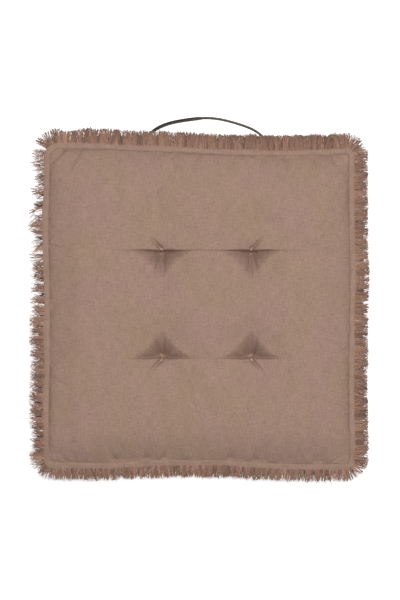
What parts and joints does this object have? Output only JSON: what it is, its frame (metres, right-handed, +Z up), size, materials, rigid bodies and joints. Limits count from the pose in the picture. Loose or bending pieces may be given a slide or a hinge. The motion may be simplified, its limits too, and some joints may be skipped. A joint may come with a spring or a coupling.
{
  "type": "floor cushion",
  "caption": "Square boxed floor cushion with tufts, fringed flanges top and bottom, and a strap handle on one side that swings up and down.",
  "frame": {"origin": "middle of the flat underside, on the floor", "axes": "+Z up from the floor, +Y towards the handle, +X to the right seen from above with the handle at the far side"},
  "size_m": [0.5272, 0.5756, 0.1071],
  "materials": {
    "cover_cloth": "matte slubby plain weave",
    "fringe_yarn": "matte loose yarn",
    "sewing_thread": "matte twisted thread",
    "tuft_twine": "matte twisted twine",
    "strap": "matte close weave",
    "fibre": "soft fibre wadding"
  },
  "bodies": {
    "cushion": {"fibre_core": "fibre", "top_panel": "cover_cloth", "bottom_panel": "cover_cloth", "wall_front": "cover_cloth", "wall_right": "cover_cloth", "wall_back": "cover_cloth", "wall_left": "cover_cloth", "top_fringe_front": "fringe_yarn", "top_fringe_right": "fringe_yarn", "top_fringe_back": "fringe_yarn", "top_fringe_left": "fringe_yarn", "bottom_fringe_front": "fringe_yarn", "bottom_fringe_right": "fringe_yarn", "bottom_fringe_back": "fringe_yarn", "bottom_fringe_left": "fringe_yarn", "top_seam_thread": "sewing_thread", "bottom_seam_thread": "sewing_thread", "tuft_twine_1": "tuft_twine", "tuft_twine_2": "tuft_twine", "tuft_twine_3": "tuft_twine", "tuft_twine_4": "tuft_twine", "handle_end_left": "strap", "handle_end_right": "strap", "handle_stitching_left": "sewing_thread", "handle_stitching_right": "sewing_thread"},
    "handle": {"handle_loop": "strap"}
  },
  "joints": [
    {"name": "handle_swing", "type": "hinge", "parent": "cushion", "child": "handle", "pos_m": [0.008, 0.263, 0.0485], "axis": [1, 0, 0], "range_deg": [-40, 40]}
  ]
}
